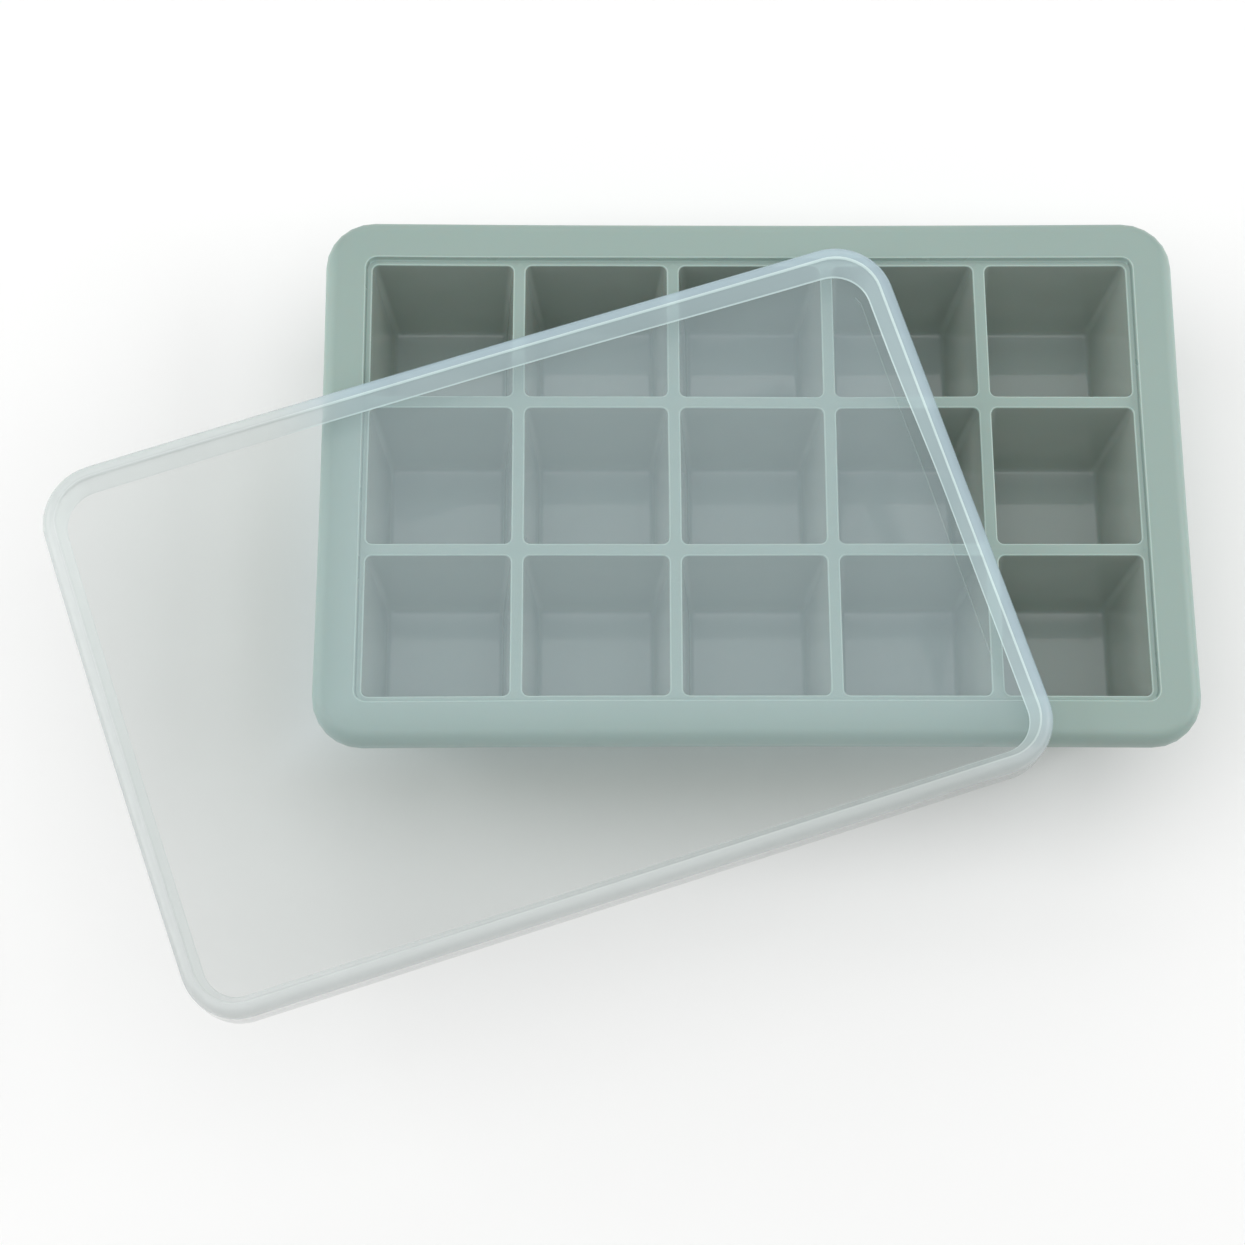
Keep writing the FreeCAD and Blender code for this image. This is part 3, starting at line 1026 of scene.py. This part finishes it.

# the rim's paler ends are a painted highlight
rim_silicone = silicone("silicone_satin", [(0.277, 0.374, 0.340), (0.295, 0.390, 0.356)],
                        roughness=(0.36, 0.44), grain=0.02 * MM, specular=0.45,
                        painted_end_colour=(0.365, 0.485, 0.445))
# the cells' paler depths are painted light
cell_silicone = silicone("silicone_glossy", [(0.330, 0.386, 0.347), (0.350, 0.406, 0.367)],
                         roughness=(0.04, 0.06), grain=0.0006 * MM, specular=0.65,
                         painted_depth_light_colours=[(0.50, 0.565, 0.52), (0.350, 0.422, 0.400)])
# paler silicone on the roundings: a painted highlight, with painted shade low in the recess crease at the
# ends
edge_highlight_and_crease_silicone = silicone("silicone_edge_painted_highlight_and_crease_shade", [(0.395, 0.515, 0.475), (0.415, 0.540, 0.495)],
                         roughness=(0.24, 0.32), grain=0.005 * MM, specular=0.5,
                         painted_crease_shade=(0.22, 0.295, 0.27))
noise.seed_set(WAVE_SEED)
make_tray([rim_silicone, cell_silicone, edge_highlight_and_crease_silicone])

# the haze colours beyond the tray are painted shade, darker along the near side
panel_plastic = lid_plastic("lid_panel", over=(0.71, 0.88, 0.94), beyond=(0.09, 0.18, 0.145),
                            alpha=0.20, roughness=0.24)
bead_plastic = lid_plastic("lid_bead", over=(0.50, 0.64, 0.71), beyond=(0.545, 0.60, 0.59),
                           alpha=0.66, roughness=0.18, near_painted_shade=BEAD_HAZE_NEAR_SHADE)
# the whiter, denser ridge is a painted highlight line
ridge_highlight_plastic = lid_plastic("lid_ridge_painted_highlight", over=(0.80, 1.0, 1.0), beyond=(0.61, 0.665, 0.655),
                            alpha=0.74, roughness=0.14)
# the inner face's paler haze is painted light, for the light its slope misses
inner_face_lit_plastic = lid_plastic("lid_inner_face_painted_light", over=(0.67, 0.83, 0.87), beyond=(0.69, 0.755, 0.74),
                            alpha=0.64, roughness=0.18)
inside_plastic = lid_plastic("lid_inside", over=(0.52, 0.62, 0.66), beyond=(0.46, 0.52, 0.51),
                             alpha=0.03, roughness=0.24)
# the whiter step line is a painted highlight
step_highlight_plastic = lid_plastic("lid_step_painted_highlight", over=(0.82, 1.0, 1.0), beyond=(0.20, 0.28, 0.26),
                           alpha=0.30, roughness=0.20)
skirt_plastic = lid_plastic("lid_skirt", over=(0.52, 0.66, 0.72), beyond=(0.48, 0.535, 0.52),
                            alpha=0.35, roughness=0.22, near_painted_shade=SKIRT_HAZE_NEAR_SHADE)
make_lid([panel_plastic, bead_plastic, ridge_highlight_plastic, inner_face_lit_plastic, inside_plastic, step_highlight_plastic,
          skirt_plastic])
